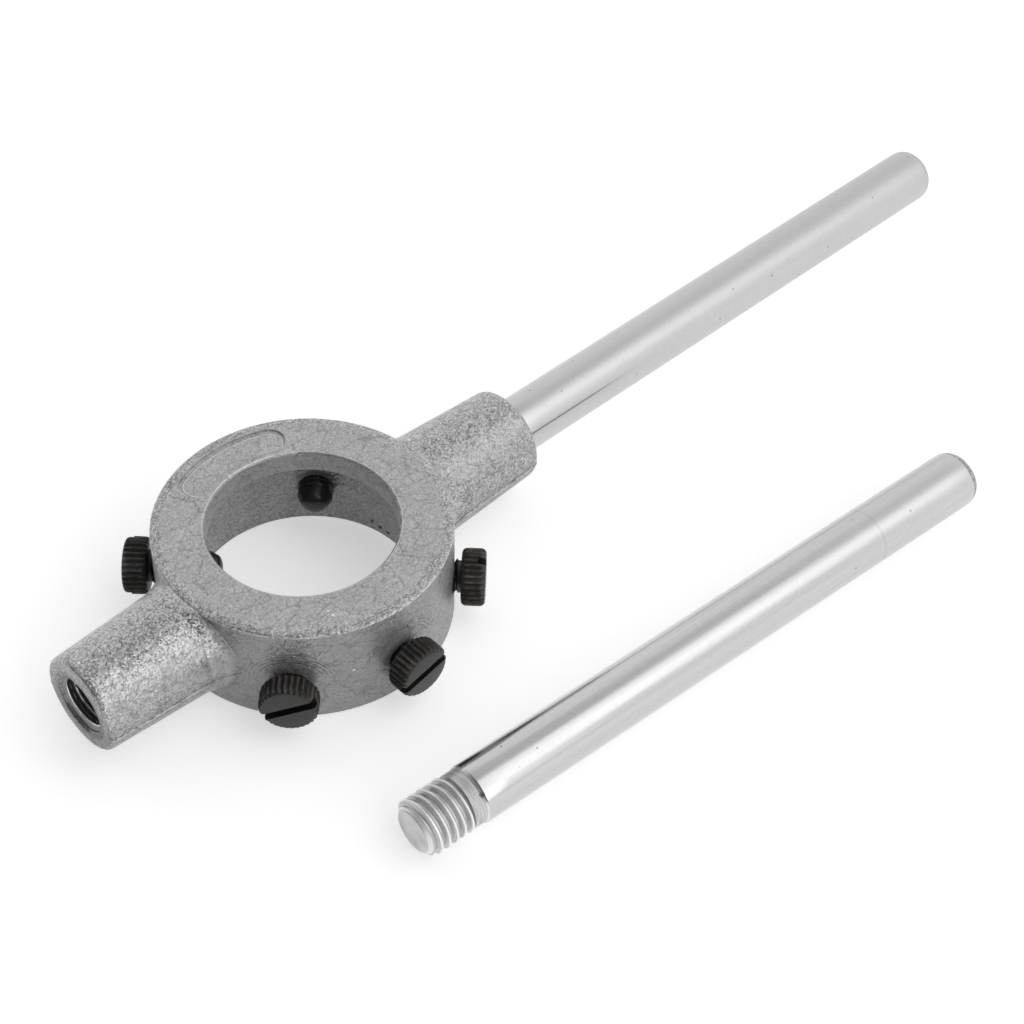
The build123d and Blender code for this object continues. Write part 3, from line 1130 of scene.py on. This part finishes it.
@dataclass
class Screw:
    """One slotted, knurled screw, in mm."""

    node: str
    angle_deg: float
    slot_deg: float
    backed_out: float = 0.0
    seat_radius: float = 25.4
    height: float = SCREW_HEIGHT
    head_radius: float = 4.75
    head_thickness: float = 4.0
    head_round: float = 0.9
    flutes: int = 30
    flute_depth: float = 0.35
    flute_power: float = 0.8
    flute_fade: tuple = (0.75, 0.1)
    slot_width: float = 1.4
    slot_depth: float = 1.3
    slot_over: float = 1.0
    slot_reach: float = 1.5
    shank_radius: float = 2.95
    shank_length: float = 11.9
    point_length: float = 2.6
    point_radius: float = 1.7
    point_start: float = 0.03
    point_rows: int = 18
    point_crowding: float = 1.8
    nose: float = 0.8
    thread_run_in: float = 0.5
    thread_rows: int = 79
    neck_length: float = 0.6
    neck_cut: float = 0.3
    gap: float = 0.02
    bend_rows: int = 7
    side_rows: int = 3
    columns: int = 240
    sharp_deg: float = 35.0

    def place(self) -> Place:
        """Frame at the underside of the head, with its third axis out of the ring.

        Returns:
            The frame, whose first axis is level.
        """
        angle = math.radians(self.angle_deg)
        out = np.array([math.cos(angle), math.sin(angle), 0.0])
        level = np.array([-math.sin(angle), math.cos(angle), 0.0])
        origin = out * (self.seat_radius + self.backed_out) + np.array([0.0, 0.0, self.height])
        return Place(origin, out, level)

    def sections(self) -> tuple:
        """Rows from the point to the face of the head.

        The point is a cone whose end is rounded: its radius times sqrt(1 - (1 - t)^2),
        where t runs from 0 to 1 over the nose.

        The knurl takes flute_depth times (1 - cos(flutes times angle)) / 2, to the power
        flute_power, off the head's side, and fades over its rounded edges.

        Returns:
            Places along the screw and radii, both rows by columns.
        """
        pitch, depth = Thread.SCREW.value
        share = np.linspace(0.0, 1.0, self.columns, endpoint=False)[None, :]
        full = np.ones((1, self.columns))
        from_tip = np.linspace(self.point_start, 1.0, self.point_rows)[:, None] ** self.point_crowding
        from_tip = self.point_length * from_tip
        cone = self.point_radius + from_tip * (self.shank_radius - self.point_radius) / self.point_length
        rounding = np.minimum(from_tip / self.nose, 1.0)
        cone = cone * np.sqrt(1.0 - (1.0 - rounding) ** 2)
        cone_along = from_tip - self.shank_length
        cone_end = self.point_length - self.shank_length
        shank_along = np.linspace(cone_end, -self.neck_length, self.thread_rows + 1)[1:, None]
        ridge = thread_ridge((shank_along + self.shank_length) / pitch - share)
        run_in = smooth_step(0.0, self.thread_run_in, shank_along - cone_end)
        shank = self.shank_radius - depth * (1.0 - ridge) * run_in
        bend = np.linspace(0.0, math.pi / 2, self.bend_rows)[:, None]
        edge = self.head_round
        inner = self.head_radius - edge
        low_along, low = edge * (1.0 - np.cos(bend)), inner + edge * np.sin(bend)
        side_along = np.linspace(edge, self.head_thickness - edge, self.side_rows + 2)[1:-1, None]
        head_along = np.vstack([low_along, side_along, self.head_thickness - low_along[::-1]])
        head = np.vstack([low, np.full_like(side_along, self.head_radius), low[::-1]])
        wave = ((1.0 - np.cos(2.0 * math.pi * self.flutes * share)) / 2.0) ** self.flute_power
        start, end = (self.head_radius - fade * edge for fade in self.flute_fade)
        reach = smooth_step(start, end, head)
        head = head - self.flute_depth * wave * reach
        neck_along = -np.array([self.neck_length, self.gap])[:, None]
        neck = np.full((2, 1), self.shank_radius - self.neck_cut)
        return (
            np.vstack([cone_along * full, shank_along * full, neck_along * full, head_along * full]),
            np.vstack([cone * full, shank, neck * full, head]),
        )

    def slot(self, place: Place) -> Mesh:
        """Box that cuts the slot, across the whole face.

        Args:
            place: Frame of the screw.

        Returns:
            The closed box.
        """
        turn = math.radians(self.slot_deg)
        half_length, half_width = self.head_radius * self.slot_reach, self.slot_width / 2.0
        run = np.array([-1, 1, 1, -1, -1, 1, 1, -1]) * half_length
        cross = np.array([-1, -1, 1, 1, -1, -1, 1, 1]) * half_width
        low = self.head_thickness - self.slot_depth
        along = np.array([low] * 4 + [self.head_thickness + self.slot_over] * 4)
        side = run * math.cos(turn) - cross * math.sin(turn)
        up = run * math.sin(turn) + cross * math.cos(turn)
        faces = [(0, 1, 2, 3), (4, 5, 6, 7), (0, 1, 5, 4), (1, 2, 6, 5), (2, 3, 7, 6), (3, 0, 4, 7)]
        return closed_mesh("slot", place.world(side, up, along), faces)

    def build(self, finish: Material) -> Object:
        """Turns the sections round the screw's axis and cuts the slot.

        Args:
            finish: Material of the screw.

        Returns:
            The finished piece.
        """
        place = self.place()
        along, radius = self.sections()
        ends = -self.shank_length, self.head_thickness
        poles = [place.origin + place.along * end for end in ends]
        mesh = capped_mesh(self.node + "_turned", place.turned(radius, along), poles)
        piece = put_in_scene(cut_away(mesh, self.slot(place)), self.sharp_deg, finish)
        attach(piece, self.node)
        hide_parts(self.node)
        return piece


@dataclass
class TappedLiner:
    """The thread cut into the open socket, as a thin sleeve inside its bore, in mm."""

    name: str = "socket_thread"
    body: str = "stock"
    mouth: tuple = (-44.304, 0.0, SOCKET_HEIGHT)
    outer_radius: float = 4.99
    wall: float = 0.04
    ridge_share: float = 0.85
    length: float = 14.4
    run_in: float = 0.5
    columns: int = 96
    rows: int = 150
    sharp_deg: float = 40.0

    def build(self, finish: Material) -> Object:
        """The inner wall is outer_radius less wall, less ridge_share of depth times thread_ridge.

        The grid's rows go in along the thread and back out along the outer wall, so the
        last row meets the first and the sleeve is closed.

        Args:
            finish: Material of the thread.

        Returns:
            The finished piece.
        """
        pitch, depth = Thread.HANDLE.value
        along = np.linspace(0.0, self.length, self.rows)[:, None]
        share = np.linspace(0.0, 1.0, self.columns, endpoint=False)[None, :]
        ridge = thread_ridge(along / pitch + share)
        fade = smooth_step(0.0, self.run_in, along)
        inner = self.outer_radius - self.wall - self.ridge_share * depth * ridge * fade
        outer = np.full((2, self.columns), self.outer_radius)
        full = np.ones((1, self.columns))
        depth_in = np.vstack([along * full, np.array([[self.length], [0.0]]) * full])
        place = Place(np.array(self.mouth), np.array([1.0, 0.0, 0.0]), np.array([0.0, 0.0, 1.0]))
        points = place.turned(np.vstack([inner, outer]), depth_in)
        index = np.arange(depth_in.size).reshape(depth_in.shape)
        after, below = np.roll(index, -1, axis=1), np.roll(index, -1, axis=0)
        quads = np.stack([index, after, np.roll(below, -1, axis=1), below], axis=-1).reshape(-1, 4)
        piece = put_in_scene(closed_mesh(self.name, points, quads.tolist()), self.sharp_deg, finish)
        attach(piece, self.body)
        return piece


def dress_node(node: str, finish: Material) -> None:
    """Puts a finish on every material slot of a CAD node.

    Args:
        node: Name of the node.
        finish: The material.
    """
    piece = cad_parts[node]
    if not piece.data.materials:
        piece.data.materials.append(finish)
    for slot in piece.material_slots:
        slot.material = finish


def main() -> None:
    """Builds the stage and every piece, and reports each one."""
    logging.basicConfig(level=logging.INFO, format="%(message)s")
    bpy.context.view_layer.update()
    paint = HammeredPaint().material()
    black = BlackOxide().material()
    PhotoCamera().build()
    Studio().build()
    dress_node("stock_body", paint)
    TappedLiner().build(CutThread().material())
    log.info("built socket thread")
    fitted, loose, loose_turn = (44.354, 0.0, SOCKET_HEIGHT), (-9.4, -49.8325, 5.0), -3.455
    fitted_finish = PolishedBar(
        "fitted_bar_steel",
        fitted,
        0.0,
        grey=0.575,
        streak=0.07,
        roughness=(0.30, 0.42),
        tip_dark=0.06,
        pitted=0.42,
        # The fitted rod's dark line is a painted reflection of the loose rod.
        reflected_line=((1.91, 27.0, 0.34),),
    )
    rings = ((85.4, 0.05), (96.4, 0.02), (-10.62, -0.25))
    loose_finish = PolishedBar("loose_bar_steel", loose, loose_turn, rings=rings)
    for handle, finish in (
        (Handle("fitted_rod", "fitted_handle", "handle", fitted, 0.0), fitted_finish),
        (Handle("loose_rod", "loose_handle", "stock", loose, loose_turn), loose_finish),
    ):
        handle.build(finish.material())
        log.info("built %s", handle.name)
    screws = [
        Screw("spreading_screw", 270.0, 13.6),
        Screw("closing_screw_left", 225.0, 23.3),
        Screw("closing_screw_right", 315.0, 97.0),
        Screw("locating_screw_left", 135.0, 138.0),
        Screw("locating_screw_right", 45.0, 148.0, 0.9),
    ]
    for screw in screws:
        screw.build(black)
        log.info("built %s", screw.node)


if __name__ == "__main__":
    main()
